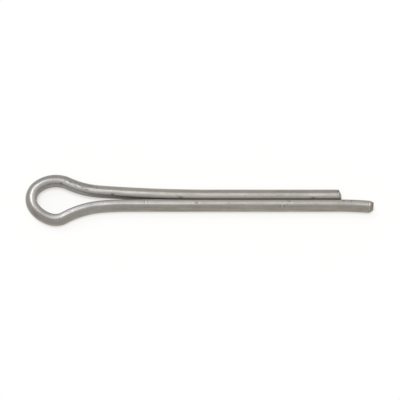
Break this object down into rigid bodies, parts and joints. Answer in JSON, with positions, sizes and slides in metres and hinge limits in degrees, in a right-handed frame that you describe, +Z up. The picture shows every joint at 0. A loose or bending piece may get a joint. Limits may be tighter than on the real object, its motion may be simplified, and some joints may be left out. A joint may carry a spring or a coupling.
{
  "type": "cotter pin",
  "caption": "Split cotter pin bent from one half-round steel wire, with a teardrop eye and one prong longer than the other.",
  "frame": {"origin": "centre of the bounding box, on the surface that the pin lies on", "axes": "+X along the shank from the eye to the prong tips, +Y towards the short prong, +Z up out of the surface"},
  "size_m": [0.0475, 0.0072, 0.0025],
  "materials": {
    "steel_wire": "drawn steel wire, semi-bright, with fine marks along its length"
  },
  "bodies": {
    "root": {"cotter_pin": "steel_wire"}
  },
  "joints": []
}
